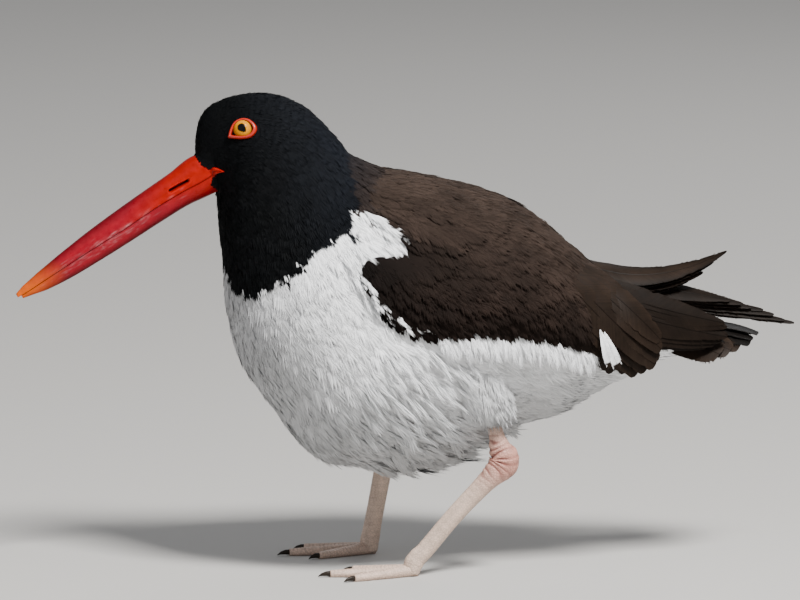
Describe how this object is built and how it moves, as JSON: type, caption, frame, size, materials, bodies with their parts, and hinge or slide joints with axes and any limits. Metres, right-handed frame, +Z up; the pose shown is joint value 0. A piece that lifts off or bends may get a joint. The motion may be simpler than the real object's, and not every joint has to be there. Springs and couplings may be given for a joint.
{
  "type": "american oystercatcher model",
  "caption": "Life-size still model of an adult oystercatcher, half crouched on both feet, with a long straight bill, folded wings and a bent near leg.",
  "frame": {"origin": "centre of the bird's box, on the floor under its feet", "axes": "-X towards the bill's tip, -Y towards the bird's left side, +Z up"},
  "size_m": [0.3199, 0.1072, 0.1946],
  "materials": {
    "plumage_black": "short dense black feathers over flesh, soft sheen",
    "plumage_white": "white breast and belly feathers over flesh, matte and soft",
    "plumage_brown": "brown wing feathers, matte with a faint sheen",
    "plumage_dark": "blackish tail feathers, matte with a faint sheen",
    "down_white": "loose white feathers with no flesh in them, matte",
    "bill_red": "orange-red horn, smooth, paler towards the tip",
    "lid_red": "bare orange-red skin round the eye, slightly moist",
    "iris_gold": "golden iris and black pupil under a clear wet cornea",
    "leg_pink": "pale pinkish bare skin with fine scales",
    "claw_dark": "dark horn, satin"
  },
  "bodies": {
    "root": {"bill_lower": "bill_red", "bill_upper": "bill_red", "claw_left_1": "claw_dark", "claw_left_2": "claw_dark", "claw_left_3": "claw_dark", "claw_right_1": "claw_dark", "claw_right_2": "claw_dark", "claw_right_3": "claw_dark", "eye_left": "iris_gold", "eye_right": "iris_gold", "foot_left": "leg_pink", "foot_right": "leg_pink", "head": "plumage_black", "leg_left": "leg_pink", "leg_right": "leg_pink", "lids_left": "lid_red", "lids_right": "lid_red", "neck": "plumage_black", "rump": "down_white", "tail": "plumage_dark", "thigh_left": "down_white", "thigh_right": "down_white", "torso": "plumage_white", "wing_left": "plumage_brown", "wing_right": "plumage_brown"}
  },
  "joints": []
}
